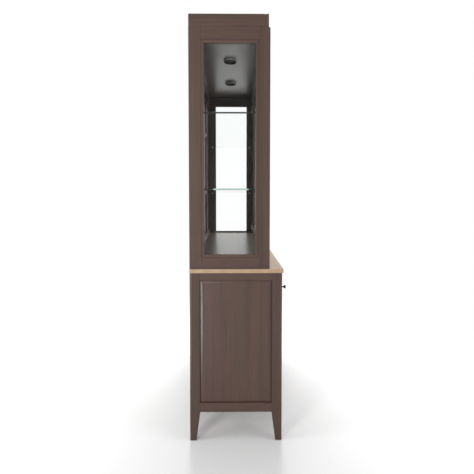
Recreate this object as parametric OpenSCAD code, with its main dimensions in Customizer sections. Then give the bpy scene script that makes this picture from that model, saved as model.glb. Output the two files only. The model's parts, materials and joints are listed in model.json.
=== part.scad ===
// A buffet with a glazed hutch standing on it. The front faces -Y and +Z is up.
// The origin is on the floor, under the middle of the footprint. All sizes are in millimetres.

/* [Overall] */
// Width of the hutch over its side frames
hutch_w = 1372; // [1200:1:1600]
// Depth of the hutch from its back to the front of its face frame
hutch_d = 398; // [350:1:430]
// Height of the hutch frames above the slab
hutch_h = 1178; // [1050:1:1300]
// Depth of the buffet over its legs
buffet_d = 461; // [440:1:520]
// Height from the floor to the underside of the slab
buffet_h = 852; // [780:1:900]
// How far the buffet legs stand out past the hutch at each side
buffet_out = 6; // [0:0.5:30]

/* [Legs] */
// Width of a square leg
leg = 51; // [46:1:60]
// Width of a leg at the floor, after the taper of its two inner faces
leg_foot = 32; // [28:1:44]
// Height of a leg below the case, which is the length of its taper
leg_clear = 148; // [100:1:180]
// Width of the bevel on the outer corner of a leg
leg_bevel = 10; // [5:0.5:14]
// Width of that bevel at the foot
leg_bevel_foot = 2.5; // [1:0.5:5]
// Height under which the bevel thins out
leg_bevel_z = 440; // [300:1:600]
// Radius of the glide under each leg
glide_r = 12; // [8:0.5:14]
// Thickness of the glide
glide_h = 3; // [2:0.5:6]

/* [Slab] */
// Thickness of the slab top
slab_t = 20; // [18:1:35]
// Slab overhang past the front of the legs
slab_front = 5; // [0:0.5:20]
// Slab overhang past the legs at each side
slab_side = 4; // [0:0.5:20]

/* [Buffet case] */
// Height of the side and back rails under the slab
case_rail_h = 35; // [25:1:60]
// Height of the bottom rails all round
bottom_rail_h = 46; // [35:1:70]
// Thickness of the side rails
side_rail_t = 22; // [18:1:26]
// Height of the front rail over the drawers
top_rail_h = 35; // [20:1:50]
// Height of the drawer openings
drawer_h = 134; // [125:1:150]
// Height of the rail between drawers and doors
mid_rail_h = 20; // [16:1:40]
// Width of the stile between the two bays
centre_w = 80; // [76:1:120]
// Depth of the face frame members, front to back
face_t = 32; // [28:1:40]
// How far door, drawer and rail faces lie behind the legs and posts
front_set = 1; // [0.5:0.1:3]
// Thickness of the partition between the bays
partition_t = 20; // [16:1:26]
// Thickness of the bottom board, the loose shelves and the hutch floor and ceiling
board_t = 18; // [14:1:25]
// Thickness of the rails of the buffet back
back_rail_t = 20; // [18:1:26]
// Height of the loose shelves over the bottom board
buffet_shelf_up = 236; // [120:1:300]

/* [Raised panels] */
// Thickness of the tongue round a panel
tongue_t = 6; // [4:0.5:7]
// How deep the tongue sits in its groove
tongue_d = 7; // [5:0.5:9]
// Clearance between a tongue and the walls of its groove
groove_play = 0.15; // [0.1:0.05:0.3]
// Width of the bevel round the field
bevel_w = 11; // [6:1:25]
// Rise from the tongue to the field
bevel_h = 5; // [3:0.5:7]
// Width of the steeper slope between bevel and field
step_w = 2; // [1:0.5:4]
// Rise of that slope
step_h = 2; // [0.5:0.5:2.5]
// How far the field lies behind the face of its frame
field_set = 2; // [1:0.5:4]

/* [Doors] */
// Thickness of doors and drawer fronts
door_t = 20; // [18:0.5:24]
// Width of the stiles and rails of the buffet doors
door_stile_w = 55; // [45:1:75]
// Width of the stiles and rails of the hutch doors
glass_door_stile_w = 50; // [40:1:70]
// Gap at the hinge side of a door and where two doors meet
door_gap = 2.4; // [2.4:0.1:3]
// Gap over and under a door or drawer front
edge_gap = 2; // [1.5:0.1:3]
// Height of the knobs of the hutch doors over the hutch floor
glass_knob_up = 397; // [200:1:700]
// Distance of the buffet door knobs below the top of the door
door_knob_down = 70; // [50:1:150]

/* [Hinges] */
// Length of a hinge
hinge_l = 50; // [36:1:60]
// Radius of the knuckle
knuckle_r = 3.5; // [3:0.1:4]
// Radius of the hinge pin
hinge_pin_r = 1.25; // [1:0.05:1.5]
// Radial clearance of the pin in the knuckle of the door leaf
pin_play = 0.05; // [0.03:0.01:0.1]
// Thickness of a hinge leaf
leaf_t = 1; // [0.8:0.05:1]
// Width of the leaf that is screwed to the frame
frame_leaf_w = 29; // [20:0.5:30]
// Width of the leaf that is screwed to the door
door_leaf_w = 17; // [12:0.5:18]
// Distance from a buffet door's end to the middle of its hinge
hinge_in = 75; // [50:1:120]
// Distance from a hutch door's end to the middle of its hinge
glass_hinge_in = 32; // [31:1:120]

/* [Drawers] */
// Gap between the back of a drawer box and the back rails
drawer_back_gap = 36; // [20:1:80]
// Height of the drawer box sides
box_h = 108; // [60:1:108]
// Thickness of the drawer box sides
box_t = 12; // [9:0.5:16]
// Thickness of the drawer bottom
box_bottom_t = 6; // [4:0.5:8]
// Height of the drawer box over its opening's lower edge
box_up = 6; // [3:0.5:10]
// Distance from the end of a drawer front to its knob
drawer_knob_in = 92; // [50:1:200]

/* [Drawer slides] */
// Width of a slide between case and drawer
slide_t = 12.7; // [12:0.1:14]
// How much shorter a slide is than its drawer box
slide_short = 30; // [10:1:60]
// Distance from the face of a drawer to the front end of its slides
slide_from_face = 25; // [22:1:40]
// Height of the slide's fixed channel
slide_h = 36; // [30:1:45]
// Height of the slide's inner runner
runner_h = 24; // [18:1:24]
// Thickness of the slide's steel
slide_wall = 1.2; // [1:0.1:1.5]
// Height of the batten that carries a slide
batten_h = 46; // [45:1:60]

/* [Knobs] */
// Length of a knob from its base to its tip
knob_l = 36; // [28:0.5:38]
// Radius of the knob's face
knob_r = 10; // [8:0.5:13]
// Radius of the knob's neck
knob_neck_r = 3; // [2.5:0.1:5]

/* [Hutch sides] */
// Thickness of the side frames
side_t = 22; // [20:1:25]
// Width of the back stile of a side frame
back_stile_w = 60; // [50:1:80]
// Width of the front stile of a side frame
front_stile_w = 24; // [20:1:40]
// Height of the bottom rail of a side frame
side_bottom_h = 57; // [45:1:80]
// Height of the top rail of a side frame
side_top_h = 63; // [45:1:80]
// Width of the bead that holds the glass
bead_w = 14; // [10:0.5:16]
// How far the bead lies behind the face of the frame
bead_set = 1.5; // [0.5:0.1:3]
// Width of the slope on the bead's inner edge
bead_slope = 6; // [2:0.5:8]
// Thickness of the glass in the sides and doors
glass_t = 4; // [3:0.5:4]

/* [Hutch front] */
// Width of the front posts, seen from the front
post_w = 45; // [40:1:60]
// Height of the face frame's bottom rail
face_bottom_h = 61; // [50:1:80]
// Height of the face frame's top rail
face_top_h = 65; // [50:1:80]
// Size of the chamfer along the top of the face frame
top_chamfer = 7; // [3:0.5:7]

/* [Hutch back] */
// Thickness of the back frame
back_frame_t = 21; // [20:1:26]
// Height of the back frame's top rail
back_top_h = 106; // [60:1:150]
// Height of the back frame's bottom rail
back_bottom_h = 88; // [70:1:120]
// Width of the uprights between the back panels
mullion_w = 45; // [30:1:60]
// Number of back panels
back_bays = 4; // [2:2:6]
// Size of the quarter-round beads along the floor and ceiling, against the back
corner_r = 5; // [3:0.5:8]

/* [Hutch shelves] */
// Thickness of a glass shelf
shelf_glass_t = 8; // [6:0.5:10]
// Height of each glass shelf's underside over the hutch floor
glass_shelf_up = [329, 706];
// Gap between a glass shelf and the side frames
shelf_gap = 2; // [1:0.5:4]
// Radius of the shelf pins
pin_r = 3; // [2.5:0.1:3.5]
// How far a shelf pin stands out of the wood
pin_out = 9; // [7:0.5:12]
// How deep a shelf pin sits in the wood
pin_in = 8; // [6:0.5:10]
// Distance from a glass shelf's front edge to its front pins
glass_pin_front = 8; // [6:0.5:20]
// Distance from the back of a side opening to the back pins of the glass shelves
glass_pin_back = 14; // [10:0.5:20]
// Distance of the buffet's shelf pins from the back of a front leg and the front of a back leg
buffet_pin_edge = 10; // [8:0.5:18]
// Depth of the bracket under the middle of a glass shelf's back edge
bracket_d = 20; // [14:0.5:24]
// Height of that bracket
bracket_h = 27; // [18:0.5:32]
// Width of that bracket
bracket_w = 9; // [6:0.5:14]

/* [Crown] */
// Height of the crown over the hutch frames
crown_h = 62; // [45:1:90]
// How far the crown's front lies behind the face frame
crown_set = 7; // [7:0.5:12]
// How far the crown's sides lie behind the side frames
crown_side_set = 2; // [1:0.5:4]
// Thickness of the crown's front board
crown_front_t = 17; // [14:1:18]
// Thickness of the cover on top of the crown
cover_t = 12; // [9:1:15]
// How far the ceiling lies below the top of the hutch frames
ceiling_drop = 6; // [4:1:12]

/* [Lamps] */
// Radius of a lamp
lamp_r = 38.5; // [30:0.5:45]
// Height of a lamp under the ceiling
lamp_h = 13; // [12:0.5:20]
// How far up in its ring a lens sits
lens_up = 6.5; // [3:0.5:7]
// Distance from the back of the hutch to the lamps
lamp_back = 200; // [120:1:250]
// Length of the lamp driver
driver_l = 140; // [90:1:200]
// Radius of the leads from the driver to the lamps
lead_r = 2.2; // [1.5:0.1:3]

/* [Hidden] */
$fn = 48;
joint = 0.2;           // glue line between two members of a frame
seat = 0.15;           // gap under what lies on a pin or stands against a stop
cut = 1;               // how far a cutting body runs past the face it opens

half_h = hutch_w / 2;
half_b = half_h + buffet_out;
inner_b = half_b - leg;
knob_reach = knob_l - front_set;
back_y = (buffet_d + max(knob_reach, slab_front)) / 2;
front_y = back_y - buffet_d;
face_y = front_y + front_set;
inner_face_y = face_y + face_t;

case_z = leg_clear;
floor_z = case_z + bottom_rail_h;
slab_z = buffet_h;
deck_z = slab_z + slab_t;
drawer_top_z = slab_z - top_rail_h;
drawer_z = drawer_top_z - drawer_h;
door_top_z = drawer_z - mid_rail_h;
bay_w = inner_b - centre_w / 2;
panel_in = field_set + bevel_h;
groove_w = tongue_t + 2 * groove_play;
groove_d = tongue_d + 0.3;
panel_back = panel_in + tongue_t;
back_front_y = back_y - back_rail_t;

hutch_front_y = back_y - hutch_d;
hutch_face_y = hutch_front_y + front_set;
side_front_y = hutch_front_y + face_t;
hutch_top_z = deck_z + hutch_h;
hutch_inner = half_h - post_w;
side_in_x = half_h - side_t;
hutch_floor_z = deck_z + face_bottom_h;
hutch_door_top_z = hutch_top_z - face_top_h;
ceiling_z = hutch_top_z - ceiling_drop;
hutch_back_y = back_y - back_frame_t;
back_panel_in = 4.4;
view_front_y = side_front_y + front_stile_w;
view_back_y = back_y - back_stile_w;
view_low_z = deck_z + side_bottom_h;
view_high_z = hutch_top_z - side_top_h;
shelf_front_y = side_front_y + 6;
shelf_back_y = hutch_back_y - 4;
crown_z = hutch_top_z;
crown_front_y = hutch_front_y + crown_set;
crown_x = half_h - crown_side_set;
lamp_y = back_y - lamp_back;
lamp_x = hutch_w / 6;

relief_r = knuckle_r + 0.4;
box_front_y = face_y + door_t;
box_d = back_front_y - drawer_back_gap - box_front_y;
slide_l = box_d - slide_short;
slide_z = drawer_z + box_up + box_h / 2;
slide_front_y = face_y + slide_from_face;
buffet_shelf_z = floor_z + buffet_shelf_up;
glass_pin_front_y = shelf_front_y + glass_pin_front;
glass_pin_back_y = view_back_y + glass_pin_back;
buffet_pin_front_y = front_y + leg - buffet_pin_edge;
buffet_pin_back_y = back_y - leg + buffet_pin_edge;
pin_drop = pin_r + seat;
tie_w = 40;
tie_t = 3;
tie_down = 18;
tie_up = 40;
tie_x = hutch_w / 5;

// Each door: where its hinge pins stand along X, whether they are at its right side, and
// whether it is a hutch door
LEFT_OUTER = [-inner_b + door_gap / 2, false, false];
LEFT_INNER = [-centre_w / 2 - door_gap / 2, true, false];
RIGHT_INNER = [centre_w / 2 + door_gap / 2, false, false];
RIGHT_OUTER = [inner_b - door_gap / 2, true, false];
HUTCH_LEFT = [-hutch_inner + door_gap / 2, false, true];
HUTCH_RIGHT = [hutch_inner - door_gap / 2, true, true];
doors = [LEFT_OUTER, LEFT_INNER, RIGHT_INNER, RIGHT_OUTER, HUTCH_LEFT, HUTCH_RIGHT];
function pin_x(door) = door[0];
function hinged_right(door) = door[1];
function on_hutch(door) = door[2];
function door_y(door) = on_hutch(door) ? hutch_face_y : face_y;
function door_z(door) = edge_gap + (on_hutch(door) ? hutch_floor_z : floor_z);
function door_h(door) =
    (on_hutch(door) ? hutch_door_top_z : door_top_z) - edge_gap - door_z(door);
function door_w(door) =
    ((on_hutch(door) ? 2 * hutch_inner : bay_w) - 3 * door_gap) / 2;
function stile_w(door) = on_hutch(door) ? glass_door_stile_w : door_stile_w;
function infill_t(door) = on_hutch(door) ? glass_t : tongue_t;
function infill_in(door) = on_hutch(door) ? (door_t - glass_t) / 2 : panel_in;
function hinge_zs(door) = let (inset = on_hutch(door) ? glass_hinge_in : hinge_in)
    [inset - hinge_l / 2, door_h(door) - inset - hinge_l / 2];

stain = [0.34, 0.28, 0.24];
oak = [0.78, 0.66, 0.55];
inside = [0.42, 0.36, 0.32];
steel = [0.75, 0.75, 0.77];
dark_metal = [0.16, 0.14, 0.13];
pane = [0.75, 0.88, 0.85, 0.4];

// A box given by its lowest and highest corners
module span(low, high) {
    translate(low) cube(high - low);
}

// A shape and its twin on the other side of the middle
module both_sides() {
    children();
    mirror([1, 0, 0]) children();
}

module on_side(right) {
    if (right) mirror([1, 0, 0]) children();
    else children();
}

// A profile drawn in X and Z, run along Y from y0 to y1
module along_y(y0, y1) {
    translate([0, y1, 0]) rotate([90, 0, 0]) linear_extrude(y1 - y0) children();
}

// A profile drawn in Y and Z, run along X from x0 to x1
module along_x(x0, x1) {
    translate([x0, 0, 0]) rotate([90, 0, 90]) linear_extrude(x1 - x0) children();
}

// Legs

module leg_profile() {
    polygon([
        [0, glide_h], [leg_foot, glide_h], [leg, leg_clear], [leg, slab_z], [0, slab_z],
    ]);
}

// What the bevel takes off the outer corner of a leg, seen along its slope
module leg_bevel_cut() {
    wide = leg_bevel / sqrt(2);
    thin = leg_bevel_foot / sqrt(2);
    rotate([90, 0, 45]) linear_extrude(leg, center = true) polygon([
        [-cut, -cut], [thin, -cut], [thin, leg_clear], [wide, leg_bevel_z],
        [wide, slab_z + cut], [-cut, slab_z + cut],
    ]);
}

// One leg with its bevelled outer corner at the origin, grooved for the side panel
module leg_post() {
    difference() {
        intersection() {
            along_y(0, leg) leg_profile();
            along_x(0, leg) leg_profile();
        }
        leg_bevel_cut();
        span([panel_in - groove_play, leg - groove_d, floor_z - groove_d],
            [panel_in - groove_play + groove_w, leg + cut, slab_z - case_rail_h + groove_d]);
    }
}

module front_leg() {
    difference() {
        translate([-half_b, front_y, 0]) leg_post();
        hinge_reliefs(LEFT_OUTER);
        buffet_pin_holes();
    }
}

// A back leg has a second groove, for the back panel
module back_leg() {
    difference() {
        translate([-half_b, back_y, 0]) mirror([0, 1, 0]) leg_post();
        span([-inner_b - groove_d, back_y - panel_in - groove_w + groove_play, floor_z - groove_d],
            [-inner_b + cut, back_y - panel_in + groove_play, slab_z - case_rail_h + groove_d]);
        buffet_pin_holes();
    }
}

module legs() {
    color(stain) both_sides() {
        front_leg();
        back_leg();
    }
}

module glides() {
    color(dark_metal) both_sides()
        for (y = [front_y + leg_foot / 2, back_y - leg_foot / 2])
            translate([-half_b + leg_foot / 2, y, 0]) cylinder(r = glide_r, h = glide_h);
}

// Rails and panels of the buffet case

module side_rail(z0, z1, grooved_z) {
    difference() {
        span([-half_b, front_y + leg, z0], [-half_b + side_rail_t, back_y - leg, z1]);
        span([-half_b + panel_in - groove_play, front_y + leg - cut, grooved_z - groove_d],
            [-half_b + panel_in - groove_play + groove_w, back_y - leg + cut, grooved_z + groove_d]);
    }
}

module side_rails() {
    color(stain) both_sides() {
        side_rail(case_z, floor_z, floor_z);
        side_rail(slab_z - case_rail_h, slab_z, slab_z - case_rail_h);
    }
}

// A panel with a bevelled field; x and z run over its tongues, and y = 0 is the field's face
module raised_panel(w, h) {
    back = bevel_h + tongue_t;
    translate([0, bevel_h, 0]) cube([w, tongue_t, h]);
    intersection() {
        linear_extrude(h) field_profile(w, back);
        along_x(0, w) mirror([0, 1]) rotate(-90) field_profile(h, back);
    }
}

module field_profile(w, back) {
    in = tongue_d + groove_play;
    slope = in + bevel_w;
    field = slope + step_w;
    polygon([
        [in, back], [in, bevel_h], [slope, step_h], [field, 0],
        [w - field, 0], [w - slope, step_h], [w - in, bevel_h], [w - in, back],
    ]);
}

module side_panels() {
    color(stain) both_sides()
        translate([-half_b + field_set, back_y - leg + tongue_d, floor_z - tongue_d])
            rotate([0, 0, -90])
                raised_panel(buffet_d - 2 * leg + 2 * tongue_d,
                    slab_z - case_rail_h - floor_z + 2 * tongue_d);
}

module buffet_face_frame() {
    color(stain) difference() {
        union() {
            span([-inner_b, face_y, drawer_top_z], [inner_b, inner_face_y, slab_z]);
            span([-inner_b, face_y, case_z], [inner_b, inner_face_y, floor_z]);
            span([-centre_w / 2, face_y, floor_z + joint],
                [centre_w / 2, inner_face_y, drawer_top_z - joint]);
            both_sides()
                span([-inner_b, face_y, door_top_z], [-centre_w / 2 - joint, inner_face_y, drawer_z]);
        }
        hinge_reliefs(LEFT_INNER);
        hinge_reliefs(RIGHT_INNER);
    }
}

// The bottom board is notched round the legs
module bottom_board() {
    x = half_b - side_rail_t;
    color(inside) translate([0, 0, floor_z - board_t]) linear_extrude(board_t) difference() {
        translate([-x, inner_face_y]) square([2 * x, back_front_y - inner_face_y]);
        for (side = [-1, 1], y = [front_y, back_y - leg])
            translate([side * (inner_b + leg / 2) - leg / 2 - joint, y - joint])
                square([leg + 2 * joint, leg + 2 * joint]);
    }
}

module partition() {
    color(inside) difference() {
        span([-partition_t / 2, inner_face_y, floor_z], [partition_t / 2, back_front_y, slab_z]);
        both_sides() buffet_pin_holes();
    }
}

module buffet_back_rail(z0, z1, grooved_z) {
    difference() {
        span([-inner_b, back_front_y, z0], [inner_b, back_y, z1]);
        span([-inner_b - cut, back_y - panel_in - groove_w + groove_play, grooved_z - groove_d],
            [inner_b + cut, back_y - panel_in + groove_play, grooved_z + groove_d]);
    }
}

module buffet_back_rails() {
    color(stain) difference() {
        union() {
            buffet_back_rail(case_z, floor_z, floor_z);
            buffet_back_rail(slab_z - case_rail_h, slab_z, slab_z - case_rail_h);
        }
        tie_plate_seats();
    }
}

module buffet_back_panel() {
    color(inside)
        span([-inner_b - tongue_d, back_y - panel_back, floor_z - tongue_d],
            [inner_b + tongue_d, back_y - panel_in, slab_z - case_rail_h + tongue_d]);
}

module slab_top() {
    color(oak) difference() {
        span([-half_b - slab_side, front_y - slab_front, slab_z],
            [half_b + slab_side, back_y, deck_z]);
        tie_plate_seats();
    }
}

// Loose shelves, wider between the legs than at their front and back
module buffet_shelves() {
    color(inside) both_sides() translate([0, 0, buffet_shelf_z]) linear_extrude(board_t) {
        translate([-inner_b + joint, inner_face_y + 6])
            square([inner_b - partition_t / 2 - 3 * joint, back_front_y - inner_face_y - 12]);
        translate([-half_b + panel_back + 1, front_y + leg + 2])
            square([half_b - panel_back - inner_b, buffet_d - 2 * leg - 4]);
    }
}

// Drawer slides and the battens that carry them

module slide_battens() {
    color(inside) both_sides() {
        span([-half_b + panel_back, front_y + leg, slide_z - batten_h / 2],
            [-inner_b, back_y - leg, slide_z + batten_h / 2]);
        span([-centre_w / 2, inner_face_y, slide_z - batten_h / 2],
            [-partition_t / 2, back_y - leg, slide_z + batten_h / 2]);
    }
}

// A channel with its back at x = 0 and its lips towards +X
module slide_channel() {
    lip = (slide_h - runner_h) / 2 - 0.3;
    depth = slide_t - slide_wall - 1.5;
    translate([0, slide_front_y, slide_z - slide_h / 2]) {
        cube([slide_wall, slide_l, slide_h]);
        for (z = [0, slide_h - lip]) translate([0, 0, z]) cube([depth, slide_l, lip]);
    }
}

// The runner inside a channel, with its back against the drawer at x = slide_t
module slide_runner() {
    depth = slide_t - slide_wall - 1.5;
    translate([slide_t - depth, slide_front_y, slide_z - runner_h / 2]) {
        translate([depth - slide_wall, 0, 0]) cube([slide_wall, slide_l, runner_h]);
        for (z = [0, runner_h - 2 * slide_wall])
            translate([0, 0, z]) cube([depth, slide_l, 2 * slide_wall]);
    }
}

// Puts a slide part at both ends of the left bay, facing into the bay
module at_bay_ends() {
    translate([-inner_b, 0, 0]) children();
    translate([-centre_w / 2, 0, 0]) mirror([1, 0, 0]) children();
}

module slide_rails() {
    color(steel) both_sides() at_bay_ends() slide_channel();
}

module drawer_runners(right) {
    color(steel) on_side(right) at_bay_ends() slide_runner();
}

// Drawers

module drawer_front(right) {
    color(stain) on_side(right)
        span([-inner_b + door_gap, face_y, drawer_z + edge_gap],
            [-centre_w / 2 - door_gap, face_y + door_t, drawer_top_z - edge_gap]);
}

module drawer_box(right) {
    x0 = -inner_b + slide_t;
    x1 = -centre_w / 2 - slide_t;
    y0 = box_front_y;
    y1 = y0 + box_d;
    z0 = drawer_z + box_up;
    z1 = z0 + box_h;
    bottom_z = z0 + box_bottom_t;
    color(inside) on_side(right) {
        span([x0, y0, z0], [x0 + box_t, y1, z1]);
        span([x1 - box_t, y0, z0], [x1, y1, z1]);
        span([x0 + box_t + joint, y0, z0], [x1 - box_t - joint, y0 + box_t, z1]);
        span([x0 + box_t + joint, y1 - box_t, z0], [x1 - box_t - joint, y1, z1]);
        span([x0 + box_t + joint, y0 + box_t + joint, bottom_z],
            [x1 - box_t - joint, y1 - box_t - joint, bottom_z + box_bottom_t]);
    }
}

module drawer_knobs(right) {
    z = (drawer_z + drawer_top_z) / 2;
    color(dark_metal) on_side(right)
        for (x = [-inner_b + door_gap + drawer_knob_in, -centre_w / 2 - door_gap - drawer_knob_in])
            translate([x, face_y, z]) knob();
}

// A flared knob standing out towards -Y from its base at the origin
module knob() {
    foot_r = knob_neck_r + 3;
    foot_h = 2;
    flare_from = knob_l / 2;
    rim_h = 2.5;
    dome = 1.5;
    flare_to = knob_l - rim_h - dome;
    steps = 8;
    rotate([90, 0, 0]) rotate_extrude() polygon(concat(
        [[0, 0], [foot_r, 0], [foot_r, foot_h], [knob_neck_r, foot_h]],
        [for (k = [0 : steps]) let (t = k / steps)
            [knob_neck_r + (knob_r - knob_neck_r) * t * t, flare_from + (flare_to - flare_from) * t]],
        [[knob_r, knob_l - dome], [knob_r - dome, knob_l], [0, knob_l]]
    ));
}

// Doors, drawn hinged at the left with the pin at x = 0, and turned over for the right

module at_door(door) {
    translate([pin_x(door), door_y(door), door_z(door)])
        on_side(hinged_right(door)) children();
}

module door_frame(door) {
    w = door_w(door);
    h = door_h(door);
    s = stile_w(door);
    x0 = door_gap / 2;
    x1 = x0 + w;
    groove_y = infill_in(door) - groove_play;
    groove_y1 = groove_y + infill_t(door) + 2 * groove_play;
    color(stain) at_door(door) difference() {
        union() {
            span([x0, 0, 0], [x0 + s, door_t, h]);
            span([x1 - s, 0, 0], [x1, door_t, h]);
            span([x0 + s + joint, 0, 0], [x1 - s - joint, door_t, s]);
            span([x0 + s + joint, 0, h - s], [x1 - s - joint, door_t, h]);
        }
        span([x0 + s - groove_d, groove_y, s - groove_d],
            [x1 - s + groove_d, groove_y1, h - s + groove_d]);
        for (z = hinge_zs(door))
            translate([0, 0, z - 0.5]) cylinder(r = relief_r, h = hinge_l + 1);
    }
}

module door_panel(door) {
    s = stile_w(door);
    color(stain) at_door(door)
        translate([door_gap / 2 + s - tongue_d, field_set, s - tongue_d])
            raised_panel(door_w(door) - 2 * s + 2 * tongue_d, door_h(door) - 2 * s + 2 * tongue_d);
}

module door_glass(door) {
    s = stile_w(door);
    color(pane) at_door(door)
        span([door_gap / 2 + s - tongue_d, infill_in(door), s - tongue_d],
            [door_gap / 2 + door_w(door) - s + tongue_d, infill_in(door) + glass_t,
                door_h(door) - s + tongue_d]);
}

module door_knob(door) {
    z = on_hutch(door) ? glass_knob_up : door_h(door) - door_knob_down;
    color(dark_metal) at_door(door)
        translate([door_gap / 2 + door_w(door) - stile_w(door) / 2, 0, z]) knob();
}

// Butt hinges: a frame leaf with the pin and two knuckles, and a door leaf with the middle one

module frame_leaf() {
    third = hinge_l / 3;
    difference() {
        union() {
            translate([-door_gap / 2, 0, 0]) cube([leaf_t, frame_leaf_w, hinge_l]);
            cylinder(r = knuckle_r, h = hinge_l);
        }
        translate([0, 0, third]) cylinder(r = relief_r, h = third);
    }
    cylinder(r = hinge_pin_r, h = hinge_l);
}

module door_leaf() {
    third = hinge_l / 3;
    play = 0.2;
    difference() {
        union() {
            translate([door_gap / 2 - leaf_t, 0, 0]) cube([leaf_t, door_leaf_w, hinge_l]);
            translate([0, 0, third + play]) cylinder(r = knuckle_r, h = third - 2 * play);
        }
        for (z = [-cut, 2 * third - play])
            translate([0, 0, z]) cylinder(r = relief_r, h = third + play + cut);
        cylinder(r = hinge_pin_r + pin_play, h = hinge_l);
    }
}

module hinge_leaves() {
    color(steel) for (door = doors) at_door(door)
        for (z = hinge_zs(door)) translate([0, 0, z]) frame_leaf();
}

module door_leaves(door) {
    color(steel) at_door(door) for (z = hinge_zs(door)) translate([0, 0, z]) door_leaf();
}

// The rounded mortises that give the knuckles room in legs, stiles and posts
module hinge_reliefs(door) {
    at_door(door) for (z = hinge_zs(door))
        translate([0, 0, z - 0.5]) cylinder(r = relief_r, h = hinge_l + 1);
}

// Stops with magnets, under the rail over each pair of doors
module door_catches() {
    catch_w = 34;
    catch_h = 12;
    color(steel) {
        both_sides() {
            middle = -(inner_b + centre_w / 2) / 2;
            span([middle - catch_w / 2, face_y + door_t + seat, door_top_z - catch_h],
                [middle + catch_w / 2, inner_face_y, door_top_z]);
        }
        span([-catch_w / 2, hutch_face_y + door_t + seat, hutch_door_top_z - catch_h],
            [catch_w / 2, side_front_y, hutch_door_top_z]);
    }
}

// Hutch frames

// One member of the mitred ring round a side opening, cut from the ring by a wedge
module mitred_ring(y0, y1, z0, z1, w, x0, x1) {
    for (part = [0 : 3]) intersection() {
        children();
        along_x(x0, x1) ring_wedge(y0 - w, y1 + w, z0 - w, z1 + w, w, part);
    }
}

module ring_wedge(y0, y1, z0, z1, w, part) {
    g = joint / 2;
    outer = [[y0, z0], [y1, z0], [y1, z1], [y0, z1]];
    inner = [[y0 + w, z0 + w], [y1 - w, z0 + w], [y1 - w, z1 - w], [y0 + w, z1 - w]];
    along = [[g, 0], [0, g], [-g, 0], [0, -g]];
    next = (part + 1) % 4;
    polygon([
        outer[part] + along[part], outer[next] - along[part],
        inner[next] - along[part], inner[part] + along[part],
    ]);
}

// The bead is sloped towards the glass on its inner edge
module bead_ring() {
    x_face = half_h - bead_set;
    x_back = side_in_x + 6 + glass_t;
    y0 = view_front_y;
    y1 = view_back_y;
    z0 = view_low_z;
    z1 = view_high_z;
    mitred_ring(y0 + bead_w, y1 - bead_w, z0 + bead_w, z1 - bead_w, bead_w, x_back - cut, half_h)
        difference() {
            span([x_back, y0, z0], [x_face, y1, z1]);
            span([x_back - cut, y0 + bead_w, z0 + bead_w], [x_face + cut, y1 - bead_w, z1 - bead_w]);
            intersection() {
                linear_extrude(hutch_top_z + cut) bead_mouth(y0, y1, x_face);
                along_y(back_y - hutch_d, back_y)
                    mirror([1, -1]) bead_mouth(z0, z1, x_face);
            }
        }
}

// The widening mouth of the bead, drawn with depth in x and the opening's run in y
module bead_mouth(a, b, x_face) {
    low = a + bead_w;
    high = b - bead_w;
    polygon([
        [x_face - bead_slope, low], [x_face + cut, low - bead_slope - cut],
        [x_face + cut, high + bead_slope + cut], [x_face - bead_slope, high],
    ]);
}

module stop_ring() {
    y0 = view_front_y;
    y1 = view_back_y;
    z0 = view_low_z;
    z1 = view_high_z;
    x1 = side_in_x + 6 - joint;
    mitred_ring(y0 + bead_w, y1 - bead_w, z0 + bead_w, z1 - bead_w, bead_w, side_in_x - cut, x1)
        difference() {
            span([side_in_x, y0, z0], [x1, y1, z1]);
            span([side_in_x - cut, y0 + bead_w, z0 + bead_w],
                [x1 + cut, y1 - bead_w, z1 - bead_w]);
        }
}

module side_frame() {
    difference() {
        union() {
            span([side_in_x, side_front_y, deck_z], [half_h, view_front_y - joint, hutch_top_z]);
            span([side_in_x, view_back_y + joint, deck_z], [half_h, back_y, hutch_top_z]);
            span([side_in_x, view_front_y, deck_z], [half_h, view_back_y, view_low_z - joint]);
            span([side_in_x, view_front_y, view_high_z + joint], [half_h, view_back_y, hutch_top_z]);
        }
        span([side_in_x - cut, back_y - back_panel_in - groove_w + groove_play,
                deck_z + back_bottom_h - groove_d],
            [side_in_x + groove_d, back_y - back_panel_in + groove_play,
                hutch_top_z - back_top_h + groove_d]);
        glass_pin_holes();
    }
    bead_ring();
    stop_ring();
}

module hutch_side_frames() {
    color(stain) both_sides() side_frame();
}

module side_glass() {
    in = 1;
    color(pane) both_sides()
        span([side_in_x + 6, view_front_y + in, view_low_z + in],
            [side_in_x + 6 + glass_t - joint, view_back_y - in, view_high_z - in]);
}

// Posts and rails of the front, chamfered along the top edge under the crown
module hutch_face_frame() {
    color(stain) difference() {
        union() {
            both_sides()
                span([-half_h, hutch_front_y, deck_z], [-hutch_inner, side_front_y, hutch_top_z]);
            span([-hutch_inner + joint, hutch_front_y, deck_z],
                [hutch_inner - joint, side_front_y, hutch_floor_z]);
            span([-hutch_inner + joint, hutch_front_y, hutch_door_top_z],
                [hutch_inner - joint, side_front_y, hutch_top_z]);
        }
        along_x(-half_h - cut, half_h + cut) polygon([
            [hutch_front_y - cut, hutch_top_z - top_chamfer - cut],
            [hutch_front_y + top_chamfer + cut, hutch_top_z + cut],
            [hutch_front_y - cut, hutch_top_z + cut],
        ]);
        hinge_reliefs(HUTCH_LEFT);
        hinge_reliefs(HUTCH_RIGHT);
    }
}

function mullion_x(k) = -half_h + k * hutch_w / back_bays;

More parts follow.
